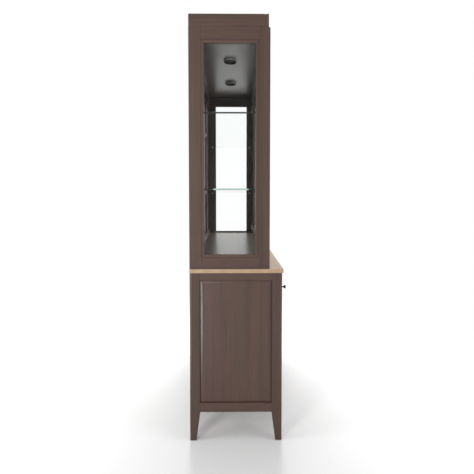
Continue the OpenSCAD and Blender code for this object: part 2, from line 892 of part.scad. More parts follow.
module hutch_back_frame() {
    low = deck_z + back_bottom_h;
    high = hutch_top_z - back_top_h;
    color(stain) difference() {
        union() {
            span([-side_in_x, hutch_back_y, deck_z], [side_in_x, back_y, low]);
            span([-side_in_x, hutch_back_y, high], [side_in_x, back_y, hutch_top_z]);
            for (k = [1 : back_bays - 1]) translate([mullion_x(k), 0, 0])
                span([-mullion_w / 2, hutch_back_y, low + joint],
                    [mullion_w / 2, back_y, high - joint]);
        }
        for (k = [1 : back_bays]) back_groove(k, low, high);
        tie_plate_seats();
        bracket_holes();
    }
}

// Edges of the back panel in bay k, without its tongues
function bay_x0(k) = k == 1 ? -side_in_x : mullion_x(k - 1) + mullion_w / 2;
function bay_x1(k) = k == back_bays ? side_in_x : mullion_x(k) - mullion_w / 2;

module back_groove(k, low, high) {
    span([bay_x0(k) - groove_d, back_y - back_panel_in - groove_w + groove_play, low - groove_d],
        [bay_x1(k) + groove_d, back_y - back_panel_in + groove_play, high + groove_d]);
}

module hutch_back_panels() {
    low = deck_z + back_bottom_h;
    high = hutch_top_z - back_top_h;
    color(stain) for (k = [1 : back_bays])
        span([bay_x0(k) - tongue_d, back_y - back_panel_in - tongue_t, low - tongue_d],
            [bay_x1(k) + tongue_d, back_y - back_panel_in, high + tongue_d]);
}

// Quarter-round beads that cover the joints of floor and back, and of ceiling and back
module corner_beads() {
    color(stain) {
        along_x(-side_in_x, side_in_x) translate([hutch_back_y, hutch_floor_z])
            intersection() {
                circle(corner_r);
                translate([-corner_r, 0]) square(corner_r);
            }
        along_x(-side_in_x, side_in_x) translate([hutch_back_y, ceiling_z])
            intersection() {
                circle(corner_r);
                translate([-corner_r, -corner_r]) square(corner_r);
            }
    }
}

// The floor and ceiling boards; the ceiling is drilled for the lamp leads
module hutch_decks() {
    color(inside) {
        span([-side_in_x, side_front_y, hutch_floor_z - board_t],
            [side_in_x, hutch_back_y, hutch_floor_z]);
        difference() {
            span([-side_in_x, side_front_y, ceiling_z],
                [side_in_x, hutch_back_y, ceiling_z + board_t]);
            for (side = [-1, 1]) translate([side * lamp_x, lamp_y, ceiling_z - cut])
                cylinder(r = lead_r + 1.5, h = board_t + 2 * cut);
        }
    }
}

module crown() {
    side_board_y = crown_front_y + crown_front_t;
    top = crown_z + crown_h;
    cover_z = top - cover_t - 4;
    color(stain) {
        span([-crown_x, crown_front_y, crown_z], [crown_x, side_board_y - joint, top]);
        both_sides() span([-crown_x, side_board_y, crown_z], [-side_in_x, back_y, top]);
        span([-side_in_x + joint, hutch_back_y, crown_z], [side_in_x - joint, back_y, top]);
        span([-side_in_x + joint, side_board_y, cover_z],
            [side_in_x - joint, hutch_back_y - joint, cover_z + cover_t]);
    }
}

// Shelves and their pins

module glass_shelves() {
    x = side_in_x - shelf_gap;
    color(pane) for (up = glass_shelf_up)
        span([-x, shelf_front_y, hutch_floor_z + up],
            [x, shelf_back_y, hutch_floor_z + up + shelf_glass_t]);
}

// A pin along X, reaching from inside the wood at x = -deep to x = out
module pin_x_way(deep, out, r) {
    translate([-deep, 0, 0]) rotate([0, 90, 0]) cylinder(r = r, h = deep + out);
}

module at_glass_pins() {
    for (up = glass_shelf_up, y = [glass_pin_front_y, glass_pin_back_y])
        translate([side_in_x, y, hutch_floor_z + up - pin_drop]) mirror([1, 0, 0]) children();
}

module at_brackets() {
    for (up = glass_shelf_up) translate([0, hutch_back_y, hutch_floor_z + up - seat]) children();
}

// A peg of a bracket, reaching from inside the wood at y = deep to y = -out
module bracket_peg(deep, out, r) {
    translate([0, deep, -bracket_h / 2]) rotate([90, 0, 0]) cylinder(r = r, h = deep + out);
}

module at_buffet_pins() {
    for (y = [buffet_pin_front_y, buffet_pin_back_y]) {
        translate([-inner_b, y, buffet_shelf_z - pin_drop]) children();
        translate([-partition_t / 2, y, buffet_shelf_z - pin_drop]) mirror([1, 0, 0]) children();
    }
}

module glass_pin_holes() {
    at_glass_pins() pin_x_way(pin_in + 0.5, cut, pin_r + 0.05);
}

module bracket_holes() {
    at_brackets() bracket_peg(pin_in + 0.5, cut, pin_r + 0.05);
}

// A bracket: a tongue under the shelf, a plate on the wood and a web between them, on a peg
module shelf_brackets() {
    plate_t = 2;
    color(steel) at_brackets() {
        along_x(-bracket_w / 2, bracket_w / 2) polygon([
            [0, 0], [-bracket_d, 0], [-bracket_d, -plate_t],
            [-plate_t, -bracket_h], [0, -bracket_h],
        ]);
        bracket_peg(pin_in, 0, pin_r);
    }
}

module buffet_pin_holes() {
    at_buffet_pins() pin_x_way(pin_in + 0.5, cut, pin_r + 0.05);
}

module shelf_pins() {
    color(steel) {
        both_sides() {
            at_glass_pins() pin_x_way(pin_in, pin_out, pin_r);
            at_buffet_pins() pin_x_way(pin_in, pin_out, pin_r);
        }
    }
}

// Steel plates let into the back, which hold the hutch to the buffet

module tie_plate_seats() {
    for (side = [-1, 1])
        span([side * tie_x - tie_w / 2 - joint, back_y - tie_t - joint, slab_z - tie_down - joint],
            [side * tie_x + tie_w / 2 + joint, back_y + cut, deck_z + tie_up + joint]);
}

module tie_plates() {
    screw_r = 2.2;
    color(steel) for (side = [-1, 1]) difference() {
        span([side * tie_x - tie_w / 2, back_y - tie_t, slab_z - tie_down],
            [side * tie_x + tie_w / 2, back_y, deck_z + tie_up]);
        for (z = [slab_z - tie_down / 2, deck_z + tie_up / 2], x = [-tie_w / 4, tie_w / 4])
            translate([side * tie_x + x, back_y + cut, z]) rotate([90, 0, 0])
                cylinder(r = screw_r, h = tie_t + 2 * cut);
    }
}

// Lamps under the ceiling, and their driver in the hollow of the crown

module at_lamps() {
    for (side = [-1, 1]) translate([side * lamp_x, lamp_y, ceiling_z]) children();
}

// A ring that opens towards its mouth, with a seat for the lens above the slope
module lamp_housings() {
    lens_r = lamp_r - 6.5;
    lip = 2;
    wall = 2;
    color(dark_metal) at_lamps() rotate_extrude() polygon([
        [lead_r + 1.5, 0], [lamp_r, 0], [lamp_r, 3 - lamp_h], [lamp_r - 2.5, -lamp_h],
        [lamp_r - 3, -lamp_h], [lens_r - lip, lens_up - lamp_h], [lens_r, lens_up - lamp_h],
        [lens_r, -wall], [lead_r + 1.5, -wall],
    ]);
}

module lamp_lenses() {
    lens_r = lamp_r - 6.5;
    color([0.7, 0.7, 0.72]) at_lamps()
        translate([0, 0, lens_up + 0.1 - lamp_h]) cylinder(r = lens_r - 0.2, h = 2.5);
}

// The driver box, and a lead to each lamp that lies on the ceiling board
module lamp_driver() {
    driver_w = 46;
    driver_h = 22;
    top = ceiling_z + board_t;
    color(dark_metal) {
        translate([-driver_l / 2, lamp_y - driver_w / 2, top])
            cube([driver_l, driver_w, driver_h]);
        both_sides() translate([0, lamp_y, top + lead_r]) {
            translate([-lamp_x, 0, 0]) rotate([0, 90, 0])
                cylinder(r = lead_r, h = lamp_x - driver_l / 2 - joint);
            translate([-lamp_x, 0, 0]) sphere(r = lead_r);
            translate([-lamp_x, 0, -board_t - lead_r - 2]) cylinder(r = lead_r, h = board_t + lead_r + 2);
        }
    }
}

legs();
glides();
side_rails();
side_panels();
buffet_face_frame();
bottom_board();
partition();
buffet_back_rails();
buffet_back_panel();
slide_battens();
slide_rails();
buffet_shelves();
shelf_pins();
slab_top();
tie_plates();
hutch_side_frames();
side_glass();
hutch_face_frame();
hutch_back_frame();
hutch_back_panels();
hutch_decks();
corner_beads();
crown();
glass_shelves();
shelf_brackets();
lamp_housings();
lamp_lenses();
lamp_driver();
hinge_leaves();
door_catches();
drawer_front(false);  // drawer_left_front
drawer_box(false);  // drawer_left_box
drawer_runners(false);  // drawer_left_runners
drawer_knobs(false);  // drawer_left_knobs
drawer_front(true);  // drawer_right_front
drawer_box(true);  // drawer_right_box
drawer_runners(true);  // drawer_right_runners
drawer_knobs(true);  // drawer_right_knobs
door_frame(LEFT_OUTER);  // door_left_outer_frame
door_panel(LEFT_OUTER);  // door_left_outer_panel
door_knob(LEFT_OUTER);  // door_left_outer_knob
door_leaves(LEFT_OUTER);  // door_left_outer_leaves
door_frame(LEFT_INNER);  // door_left_inner_frame
door_panel(LEFT_INNER);  // door_left_inner_panel
door_knob(LEFT_INNER);  // door_left_inner_knob
door_leaves(LEFT_INNER);  // door_left_inner_leaves
door_frame(RIGHT_INNER);  // door_right_inner_frame
door_panel(RIGHT_INNER);  // door_right_inner_panel
door_knob(RIGHT_INNER);  // door_right_inner_knob
door_leaves(RIGHT_INNER);  // door_right_inner_leaves
door_frame(RIGHT_OUTER);  // door_right_outer_frame
door_panel(RIGHT_OUTER);  // door_right_outer_panel
door_knob(RIGHT_OUTER);  // door_right_outer_knob
door_leaves(RIGHT_OUTER);  // door_right_outer_leaves
door_frame(HUTCH_LEFT);  // hutch_door_left_frame
door_glass(HUTCH_LEFT);  // hutch_door_left_glass
door_knob(HUTCH_LEFT);  // hutch_door_left_knob
door_leaves(HUTCH_LEFT);  // hutch_door_left_leaves
door_frame(HUTCH_RIGHT);  // hutch_door_right_frame
door_glass(HUTCH_RIGHT);  // hutch_door_right_glass
door_knob(HUTCH_RIGHT);  // hutch_door_right_knob
door_leaves(HUTCH_RIGHT);  // hutch_door_right_leaves
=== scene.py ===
# A dark oak buffet with a glazed hutch on it, seen from its left end.
# The front faces -Y, +Z is up, and all lengths are in metres.
import json
import math
import random

import bmesh
import bpy
from mathutils import Matrix, Vector


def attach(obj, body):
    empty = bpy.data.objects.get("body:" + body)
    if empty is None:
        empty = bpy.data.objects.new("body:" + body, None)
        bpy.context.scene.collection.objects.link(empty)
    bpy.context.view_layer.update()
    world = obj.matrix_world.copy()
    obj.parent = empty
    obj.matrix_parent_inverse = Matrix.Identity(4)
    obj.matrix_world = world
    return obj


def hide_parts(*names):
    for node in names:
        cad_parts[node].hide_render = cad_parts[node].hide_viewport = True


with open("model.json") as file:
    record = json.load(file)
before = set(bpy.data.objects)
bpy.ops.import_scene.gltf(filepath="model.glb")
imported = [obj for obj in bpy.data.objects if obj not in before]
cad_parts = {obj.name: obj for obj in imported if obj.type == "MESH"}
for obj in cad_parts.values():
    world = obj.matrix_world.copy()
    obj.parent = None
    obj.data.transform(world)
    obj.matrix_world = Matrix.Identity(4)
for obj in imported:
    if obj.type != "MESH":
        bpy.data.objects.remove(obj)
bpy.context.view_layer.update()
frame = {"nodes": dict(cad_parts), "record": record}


# Camera. It stands 1.94 m from the left end of the hutch, level with the middle of its depth, at
# chest height. The lens looks slightly down, and the frame is shifted down a little more.
camera = bpy.data.objects.new("camera", bpy.data.cameras.new("camera"))
bpy.context.collection.objects.link(camera)
camera.location = (-2.621, 0.031, 1.228)
yaw, pitch = math.radians(0.558), math.radians(-2.61)
looking = Vector((math.cos(pitch) * math.cos(yaw), -math.cos(pitch) * math.sin(yaw),
                  math.sin(pitch)))
camera.rotation_euler = looking.to_track_quat("-Z", "Y").to_euler()
camera.data.lens = 29.85
camera.data.sensor_width = 36
camera.data.shift_y = -0.0466
camera.data.clip_start = 0.05
bpy.context.scene.camera = camera
bpy.context.scene.view_settings.view_transform = "Standard"


# Legs. Four square posts of solid oak, 51 mm wide, their two inner faces tapered below the case
# and their outer corner bevelled. They are stained grey-brown and lacquered satin, and their
# arrises are sanded round by hand.
def loose_boards(bm):
    """The boards of a mesh, each as its list of vertices, in the same order each time"""
    seen, found = set(), []
    for start in bm.verts:
        if start in seen:
            continue
        seen.add(start)
        board, queue = [], [start]
        while queue:
            here = queue.pop()
            board.append(here)
            for edge in here.link_edges:
                there = edge.other_vert(here)
                if there not in seen:
                    seen.add(there)
                    queue.append(there)
        found.append(board)
    return found


def round_off(bm, round_by):
    """Rounds the sharp edges by round_by, marks them as edges and smooths narrow round faces"""
    sharp_from, shortest = math.radians(28), 0.0035
    bent_from, bent_to, narrow = 0.01, 0.3, 0.0022
    sharp = [edge for edge in bm.edges if len(edge.link_faces) == 2
             and edge.calc_face_angle(0) > sharp_from and edge.calc_length() > shortest]
    made = bmesh.ops.bevel(bm, geom=sharp, offset=round_by, offset_type="OFFSET", segments=2,
                           profile=0.5, affect="EDGES", clamp_overlap=True)
    rounded = set(made["faces"])
    worn = bm.faces.layers.float.new("edge")
    for face in bm.faces:
        face.smooth = face in rounded
        face[worn] = 1.0 if face in rounded else 0.0
    for edge in bm.edges:
        if len(edge.link_faces) == 2 and bent_from < edge.calc_face_angle(0) < bent_to:
            for face in edge.link_faces:
                if face.calc_area() < narrow * face.calc_perimeter():
                    face.smooth = True


def lay_grain(bm, name, along=None, shade_at=None):
    """Gives each board its own piece of a tree: where its heart lies, and how dark it is"""
    heart_near, heart_far, most_lean, most_shift, least_shade = 0.04, 0.16, 0.02, 9, 0.3
    grain = bm.verts.layers.float_vector.new("grain")
    tone = bm.verts.layers.float.new("tone")
    for number, board in enumerate(loose_boards(bm)):
        low = [min(v.co[k] for v in board) for k in range(3)]
        size = [max(v.co[k] for v in board) - low[k] for k in range(3)]
        middle = Vector([low[k] + size[k] / 2 for k in range(3)])
        long_way = size.index(max(size)) if along is None else along
        first, second = [k for k in range(3) if k != long_way]
        dice = random.Random("%s %d" % (name, number))
        away, turn = dice.uniform(heart_near, heart_far), dice.uniform(0, math.tau)
        lean, start = dice.uniform(-most_lean, most_lean), dice.uniform(-most_shift, most_shift)
        shade = dice.uniform(least_shade, 1)
        if shade_at is not None:
            shade = shade_at(middle, shade)
        for v in board:
            at = v.co - middle
            run = at[long_way]
            v[grain] = Vector((at[first] + away * math.cos(turn) + lean * run,
                               at[second] + away * math.sin(turn), run + start))
            v[tone] = shade


def make_piece(name, bm, material, body, replaced=()):
    """Turns a mesh into a piece of the object that rides on a body"""
    mesh = bpy.data.meshes.new(name)
    bm.to_mesh(mesh)
    bm.free()
    mesh.materials.append(material)
    piece = bpy.data.objects.new(name, mesh)
    bpy.context.collection.objects.link(piece)
    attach(piece, body)
    if replaced:
        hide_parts(*replaced)
    return piece


def body_of_node(node):
    """The body that a CAD node rides on"""
    bodies = frame["record"]["behaviour"]["bodies"]
    return next(body for body, nodes in bodies.items() if node in nodes)


def solid_of(node):
    """The closed solids of a node, with their flat faces made whole again"""
    bm = bmesh.new()
    bm.from_mesh(frame["nodes"][node].data)
    bmesh.ops.remove_doubles(bm, verts=bm.verts, dist=1e-6)
    bmesh.ops.dissolve_limit(bm, angle_limit=math.radians(0.5), verts=bm.verts, edges=bm.edges)
    return bm


def joinery(node, material, round_by=0.0008, along=None, shade_at=None):
    """Boards of a node with eased arrises, each with its own grain"""
    bm = solid_of(node)
    round_off(bm, round_by)
    lay_grain(bm, node, along, shade_at)
    return make_piece("shaped_" + node, bm, material, body_of_node(node), [node])


def add(tree, kind, **set_to):
    """Adds a shader node; words that name a socket set it, and others set a property"""
    made = tree.nodes.new("ShaderNode" + kind)
    for word, value in set_to.items():
        socket = made.inputs.get(word.replace("_", " "))
        if socket is None:
            setattr(made, word, value)
        else:
            socket.default_value = value
    return made


def feed(tree, socket, value):
    """Links a socket to what varies, or sets it to a number, a direction or a colour"""
    if isinstance(value, bpy.types.NodeSocket):
        tree.links.new(value, socket)
    elif isinstance(value, tuple) and socket.type == "RGBA":
        socket.default_value = (*value, 1)
    else:
        socket.default_value = value


def reckon(tree, operation, *values, on="Math"):
    """The result of one sum, on numbers or, with VectorMath, on places"""
    made = add(tree, on, operation=operation)
    for socket, value in zip(made.inputs, values):
        feed(tree, socket, value)
    return made.outputs["Value" if on == "Math" or operation == "LENGTH" else "Vector"]


def fitted(tree, value, span=(0, 1), to=(0, 1), ease="LINEAR"):
    """Stretches the span of a varying value to another span"""
    fit = add(tree, "MapRange", From_Min=span[0], From_Max=span[1], To_Min=to[0], To_Max=to[1],
              interpolation_type=ease)
    tree.links.new(value, fit.inputs["Value"])
    return fit.outputs["Result"]


noise_span = (0.3, 0.7)


def noise(tree, place, scale, detail, rough=0.5, warp=0.0):
    """Cloudy noise, at a scale in spots per metre, that seldom leaves noise_span"""
    made = add(tree, "TexNoise", Detail=detail, Roughness=rough, Distortion=warp)
    tree.links.new(place, made.inputs["Vector"])
    feed(tree, made.inputs["Scale"], scale)
    return made.outputs["Fac"]


def on_piece(tree):
    """The place on the piece, which moves with it"""
    return add(tree, "TexCoord").outputs["Object"]


def start_group(name, inputs, outputs):
    """A node group with named inputs, each with its usual value, and named outputs"""
    group = bpy.data.node_groups.new(name, "ShaderNodeTree")
    for label, kind, usual in inputs:
        socket = group.interface.new_socket(label, in_out="INPUT", socket_type="NodeSocket" + kind)
        if usual is not None:
            socket.default_value = usual
    for label in outputs:
        group.interface.new_socket(label, in_out="OUTPUT", socket_type="NodeSocketFloat")
    return group, group.nodes.new("NodeGroupInput"), group.nodes.new("NodeGroupOutput")


def make_wood_figure():
    """Broad soft streaks along the board, growth rings round its heart, fibres and open pores"""
    tree, given, result = start_group(
        "wood figure",
        [("Place", "Vector", None), ("Streaks per metre", "Float", 30.0),
         ("Rings per metre", "Float", 260.0)],
        ["Streaks", "Hue", "Rings", "Fibres", "Pores"])
    place, streaks_per_metre = given.outputs["Place"], given.outputs["Streaks per metre"]

    def drawn_out(spot, across, along):
        """A place on the board, with its scale across and along the grain"""
        return reckon(tree, "MULTIPLY", spot, (across, across, along), on="VectorMath")

    def show(output, value):
        """Gives a value out of the group"""
        tree.links.new(value, result.inputs[output])

    show("Streaks", noise(tree, drawn_out(place, 1.0, 0.045), streaks_per_metre, detail=3.5,
                          rough=0.72, warp=0.3))
    elsewhere = reckon(tree, "ADD", place, (3.1, 5.7, 1.9), on="VectorMath")
    show("Hue", noise(tree, drawn_out(elsewhere, 0.42, 0.02), streaks_per_metre, detail=1.5))

    wanders_per_metre, most_wander, half_ring = 9.0, 0.05, 0.5
    wander = noise(tree, drawn_out(place, 1.0, 0.25), wanders_per_metre, detail=2.0)
    from_heart = reckon(tree, "LENGTH", drawn_out(place, 1.0, 0.0), on="VectorMath")
    wandered = reckon(tree, "MULTIPLY_ADD", wander, most_wander, from_heart)
    counted = reckon(tree, "MULTIPLY", wandered, given.outputs["Rings per metre"])
    to_edge = reckon(tree, "PINGPONG", reckon(tree, "FRACT", counted), half_ring)
    ring = reckon(tree, "MULTIPLY", to_edge, 1 / half_ring)
    show("Rings", fitted(tree, ring, ease="SMOOTHERSTEP"))

    fibres_per_metre, pores_per_metre = 950.0, 1500.0
    show("Fibres", noise(tree, drawn_out(place, 1.0, 0.012), fibres_per_metre, detail=3.0,
                         rough=0.6))
    specks = noise(tree, drawn_out(place, 1.0, 0.03), pores_per_metre, detail=1.0)
    pores, early_wood = fitted(tree, specks, (0.60, 0.68)), fitted(tree, ring, (0.55, 0.1))
    show("Pores", reckon(tree, "MULTIPLY", pores, early_wood))
    return tree


wood_figure = make_wood_figure()

# Rubbed edges: where an arris is handled, the finish wears thin in patches.
rubbed_edge, given, result = start_group(
    "rubbed edge", [("Edge", "Float", 0.0), ("Patches per metre", "Float", 40.0)], ["Rubbed"])
patches = noise(rubbed_edge, on_piece(rubbed_edge), given.outputs["Patches per metre"],
                detail=3.0, rough=0.6)
thin = fitted(rubbed_edge, patches, (0.42, 0.66))
rubbed_edge.links.new(reckon(rubbed_edge, "MULTIPLY", thin, given.outputs["Edge"]),
                      result.inputs["Rubbed"])

# Handling: faint, cloudy differences of gloss that hands and cloths leave on a finish.
handling, given, result = start_group(
    "handling", [("Clouds per metre", "Float", 7.0)], ["Cloud"])
clouds = noise(handling, on_piece(handling), given.outputs["Clouds per metre"], detail=4.0,
               rough=0.62, warp=0.4)
handling.links.new(clouds, result.inputs["Cloud"])


def new_material(name):
    """A material with its Principled shader and output"""
    material = bpy.data.materials.new(name)
    material.use_nodes = True
    tree = material.node_tree
    tree.nodes.clear()
    shader = add(tree, "BsdfPrincipled")
    tree.links.new(shader.outputs[0], add(tree, "OutputMaterial").inputs["Surface"])
    return material, tree, shader


def use_group(tree, group, **values):
    """Places a node group with its own values"""
    placed = tree.nodes.new("ShaderNodeGroup")
    placed.node_tree = group
    for word, value in values.items():
        placed.inputs[word.replace("_", " ")].default_value = value
    return placed


def laid_on(tree, name, output="Fac"):
    """What lay_grain or round_off wrote on the mesh"""
    return add(tree, "Attribute", attribute_name=name).outputs[output]


def rubbed(tree, patches_per_metre):
    """How far the finish is rubbed off the arrises, from 0 to 1"""
    rub = use_group(tree, rubbed_edge, Patches_per_metre=patches_per_metre)
    tree.links.new(laid_on(tree, "edge"), rub.inputs["Edge"])
    return rub.outputs["Rubbed"]


def clouded(tree, clouds_per_metre):
    """The clouds that handling leaves"""
    return use_group(tree, handling, Clouds_per_metre=clouds_per_metre).outputs["Cloud"]


def blend_colours(tree, amount, first, second):
    """Mixes two colours, each fixed or varying, by an amount that varies"""
    mix = add(tree, "Mix", data_type="RGBA")
    for socket, value in ((mix.inputs[0], amount), (mix.inputs[6], first), (mix.inputs[7], second)):
        feed(tree, socket, value)
    return mix.outputs[2]


def times(colour, factor):
    """A colour made darker or paler by a factor"""
    return tuple(c * factor for c in colour)


def emboss(tree, shader, height, strength, depth):
    """Relief in a surface, from a height that varies"""
    bump = add(tree, "Bump", Strength=strength, Distance=depth)
    tree.links.new(height, bump.inputs["Height"])
    tree.links.new(bump.outputs[0], shader.inputs["Normal"])


def lacquered_wood(name, pale, dark, tints, bare, gloss, shine=0.5, streaks=30.0, rings=260.0,
                   ring_depth=0.12, pore_depth=0.35, tone_depth=0.12, relief=0.35, cloudy=1.0,
                   coat=0.0):
    """Wood under lacquer, from the pale and dark of its streaks to the bare wood of worn arrises"""
    tint_depth, fibre_depth, rub_depth, relief_depth = 0.6, 0.16, 0.45, 0.00025
    ring_dark, fibre_dark, pore_dark, pore_sink = 0.45, 0.5, 0.3, -0.8
    material, tree, shader = new_material(name)
    shader.inputs["Specular IOR Level"].default_value = shine
    shader.inputs["Coat Weight"].default_value = coat
    shader.inputs["Coat Roughness"].default_value = gloss
    figure = use_group(tree, wood_figure, Streaks_per_metre=streaks, Rings_per_metre=rings)
    tree.links.new(laid_on(tree, "grain", "Vector"), figure.inputs["Place"])
    marks = figure.outputs

    colour = blend_colours(tree, fitted(tree, marks["Streaks"], (0.34, 0.66)), dark, pale)
    for tint, span in zip(tints, ((0.50, 0.36), (0.52, 0.66))):
        part = fitted(tree, marks["Hue"], span, (0, tint_depth))
        colour = blend_colours(tree, part, colour, tint)
    for mark, span, depths, darker in (("Rings", (0, 1), (0, ring_depth), ring_dark),
                                       ("Fibres", noise_span, (fibre_depth, 0), fibre_dark),
                                       ("Pores", (0, 1), (0, pore_depth), pore_dark)):
        colour = blend_colours(tree, fitted(tree, marks[mark], span, depths), colour,
                               times(dark, darker))
    toned = add(tree, "VectorMath", operation="SCALE")
    tree.links.new(colour, toned.inputs[0])
    tree.links.new(fitted(tree, laid_on(tree, "tone"), to=(1 - tone_depth, 1 + tone_depth)),
                   toned.inputs["Scale"])
    worn = fitted(tree, rubbed(tree, patches_per_metre=45.0), to=(0, rub_depth))
    tree.links.new(blend_colours(tree, worn, toned.outputs[0], bare), shader.inputs["Base Color"])

    dull = fitted(tree, clouded(tree, clouds_per_metre=6.0), noise_span,
                  (gloss - 0.05 * cloudy, gloss + 0.07 * cloudy))
    tree.links.new(reckon(tree, "MULTIPLY_ADD", marks["Fibres"], 0.12 * cloudy, dull),
                   shader.inputs["Roughness"])
    height = reckon(tree, "MULTIPLY_ADD", marks["Pores"], pore_sink, marks["Fibres"])
    emboss(tree, shader, height, relief, relief_depth)
    return material


stained_oak = lacquered_wood(
    "stained oak", pale=(0.110, 0.060, 0.043), dark=(0.074, 0.043, 0.034),
    tints=((0.084, 0.057, 0.038), (0.095, 0.051, 0.048)), bare=(0.17, 0.115, 0.085), gloss=0.29,
    shine=0.40)
darkest_boards = 0.15
joinery("legs", stained_oak, 0.0015,
        shade_at=lambda place, shade: darkest_boards * shade)


# Glides. A flat disc of dark moulded plastic is nailed under each leg, and keeps its end grain
# off the floor.
def moulded_plastic(name, colour):
    """Plastic with the fine grain of its mould and a little scuffing"""
    material, tree, shader = new_material(name)
    cloud = clouded(tree, clouds_per_metre=30.0)
    scuffing = fitted(tree, cloud, (0.4, 0.7), (0, 0.6))
    scuffed = tuple(c * 1.7 + 0.01 for c in colour)
    tree.links.new(blend_colours(tree, scuffing, colour, scuffed), shader.inputs["Base Color"])
    tree.links.new(fitted(tree, cloud, noise_span, (0.42, 0.6)), shader.inputs["Roughness"])
    grain = noise(tree, on_piece(tree), scale=1400.0, detail=2.0)
    emboss(tree, shader, grain, strength=0.3, depth=0.0002)
    return material


def hardware(node, material, round_by=0.0003):
    """A metal, plastic or glass node with broken edges and smooth round faces"""
    bm = solid_of(node)
    round_off(bm, round_by)
    return make_piece("finished_" + node, bm, material, body_of_node(node), [node])


glide_plastic = moulded_plastic("glide plastic", (0.05, 0.045, 0.04))
hardware("glides", glide_plastic, 0.0005)


# Case sides. Two rails between the legs hold a raised panel in their grooves, with its grain
# upright. They are of the same stained oak as the legs.
upright = 2
joinery("side_rails", stained_oak)
side_panels = joinery("side_panels", stained_oak, along=upright)


# Front frame of the buffet. Three rails and a centre stile of stained oak, 32 mm deep, are set
# between the front legs, 1 mm behind their faces.
joinery("buffet_face_frame", stained_oak)


# Back and inside of the buffet. Oak rails with a grooved-in back panel, and under a glossier
# coat of the same stain the bottom board, the partition, the battens and the loose shelves.
inside_oak = lacquered_wood(
    "inside oak", pale=(0.105, 0.070, 0.052), dark=(0.070, 0.050, 0.040),
    tints=((0.078, 0.064, 0.046), (0.084, 0.058, 0.054)), bare=(0.17, 0.125, 0.095), gloss=0.30,
    shine=0.60, streaks=22.0, relief=0.02, cloudy=0.2, coat=0.35)
joinery("buffet_back_rails", stained_oak)
for inside_board in ("buffet_back_panel", "bottom_board", "partition", "slide_battens",
                     "buffet_shelves"):
    joinery(inside_board, inside_oak, 0.0006)


# Slab top. One pale oak board, 20 mm thick, lies over the legs. It is clear-lacquered, with its
# arrises well rounded.
pale_oak = lacquered_wood(
    "pale oak", pale=(0.57, 0.400, 0.260), dark=(0.43, 0.288, 0.176),
    tints=((0.505, 0.375, 0.236), (0.54, 0.366, 0.256)), bare=(0.65, 0.48, 0.335), gloss=0.34,
    shine=0.3, streaks=24.0, rings=190.0, ring_depth=0.10, pore_depth=0.22, tone_depth=0.02,
    coat=0.3)
joinery("slab_top", pale_oak, 0.0022)


# Fittings of bright-drawn steel. The slides, the plates between hutch and buffet and the door
# catches are screwed on, and the shelf pins are pushed into bored holes.
def drawn_steel(name, colour, rough):
    """Steel with fine drawing lines, a little tarnish and brighter edges"""
    material, tree, shader = new_material(name)
    lines = reckon(tree, "MULTIPLY", on_piece(tree), (1.0, 1.0, 0.05), on="VectorMath")
    drawing = noise(tree, lines, scale=2600.0, detail=2.0)
    tarnish = fitted(tree, clouded(tree, clouds_per_metre=60.0), (0.42, 0.66), (0, 0.7))
    tone = blend_colours(tree, tarnish, colour, times(colour, 0.72))
    bright = tuple(min(1.0, c) for c in times(colour, 1.25))
    tree.links.new(blend_colours(tree, rubbed(tree, patches_per_metre=160.0), tone, bright),
                   shader.inputs["Base Color"])
    shader.inputs["Metallic"].default_value = 1.0
    tree.links.new(fitted(tree, drawing, noise_span, (rough - 0.06, rough + 0.1)),
                   shader.inputs["Roughness"])
    emboss(tree, shader, drawing, strength=0.25, depth=0.00008)
    return material


hinge_steel = drawn_steel("hinge steel", (0.58, 0.57, 0.55), 0.32)
for fitting in ("slide_rails", "tie_plates", "shelf_pins", "door_catches"):
    hardware(fitting, hinge_steel)


# Hutch side frames. Stiles and rails of stained oak hold the pane between a sloped, mitred bead
# outside and a flat stop inside. The front stile is given the darkest tone, and the faces inside
# the hutch take a darker, duller copy of the stain as painted shade.
# A darker, duller copy of the stain, which paints the shade inside the hutch onto its faces.
painted_shade_oak = lacquered_wood(
    "oak painted with inside shade", pale=(0.064, 0.042, 0.031), dark=(0.044, 0.030, 0.023),
    tints=((0.050, 0.038, 0.027), (0.054, 0.035, 0.031)), bare=(0.09, 0.06, 0.045), gloss=0.3,
    shine=0.3)
front_stile_y, inner_face_x, least_shade = -0.08, 0.6745, 0.5
side_frames = joinery(
    "hutch_side_frames", stained_oak, 0.0008,
    shade_at=lambda place, shade: 0.0 if place.y < front_stile_y else max(shade, least_shade))
side_frames.data.materials.append(painted_shade_oak)
# The faces inside the hutch take the copy with painted shade.
for polygon in side_frames.data.polygons:
    if abs(polygon.center.x) < inner_face_x:
        polygon.material_index = 1


# Panes. Clear glass, 4 mm thick, set in the side frames and in the doors' grooves. It hardly
# mirrors anything in the photograph, so its reflection is weak.
def surface_end(tree):
    """Where the finished surface of a material goes in"""
    return next(node for node in tree.nodes if node.type == "OUTPUT_MATERIAL").inputs["Surface"]


def blend_surfaces(tree, amount, first, second):
    """Mixes two shaders by an amount that varies"""
    mix = add(tree, "MixShader")
    for socket, value in zip(mix.inputs, (amount, first.outputs[0], second.outputs[0])):
        tree.links.new(value, socket)
    return mix.outputs[0]


def clear_glass(name, colour, shade_colour, mirror=1.0):
    """Glass that lets the lamps' light through, with its reflection scaled by mirror"""
    material, tree, shader = new_material(name)
    shader.inputs["Specular Tint"].default_value = (mirror, mirror, mirror, 1)
    shader.inputs["Base Color"].default_value = (*colour, 1)
    shader.inputs["Transmission Weight"].default_value = 1.0
    shader.inputs["IOR"].default_value = 1.5
    smears = fitted(tree, clouded(tree, clouds_per_metre=5.0), (0.55, 0.8), (0, 0.012))
    tree.links.new(smears, shader.inputs["Roughness"])
    passing = add(tree, "BsdfTransparent", Color=(*shade_colour, 1))
    in_shade = add(tree, "LightPath").outputs["Is Shadow Ray"]
    tree.links.new(blend_surfaces(tree, in_shade, shader, passing), surface_end(tree))
    return material


pane_glass = clear_glass("pane glass", (0.992, 0.997, 0.995), (0.96, 0.97, 0.965), 0.15)
hardware("side_glass", pane_glass, 0.0004)


